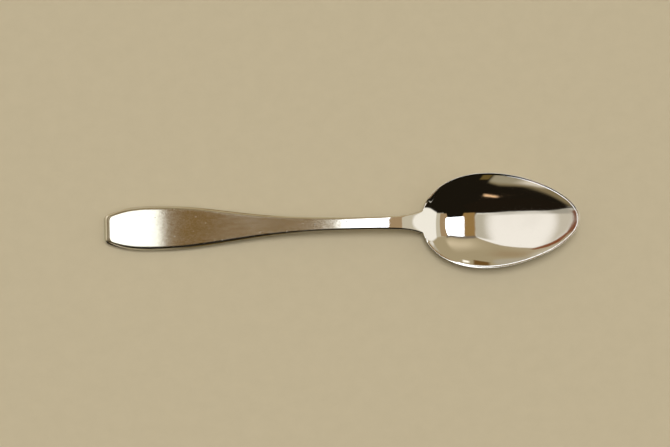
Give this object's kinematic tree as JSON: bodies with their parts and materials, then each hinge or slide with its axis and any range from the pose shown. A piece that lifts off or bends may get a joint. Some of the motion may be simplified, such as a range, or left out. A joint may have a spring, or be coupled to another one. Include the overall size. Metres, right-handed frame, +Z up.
{
  "type": "teaspoon",
  "caption": "Stainless steel teaspoon: mirror-polished egg-shaped bowl, slim arched neck and a flat, leaf-shaped, satin handle with a sloped border.",
  "frame": {"origin": "middle of the spoon's length and width, on the table it rests on", "axes": "+X along the spoon from the handle's end to the tip of the bowl, +Y across it to the left seen from the handle, +Z up out of the bowl"},
  "size_m": [0.13, 0.026, 0.0077],
  "materials": {
    "satin_steel": "satin, brushed lengthwise, with a polished border",
    "polished_steel": "polished",
    "mirror_steel": "mirror polished"
  },
  "bodies": {
    "root": {"handle": "satin_steel", "neck": "polished_steel", "bowl": "mirror_steel"}
  },
  "joints": []
}
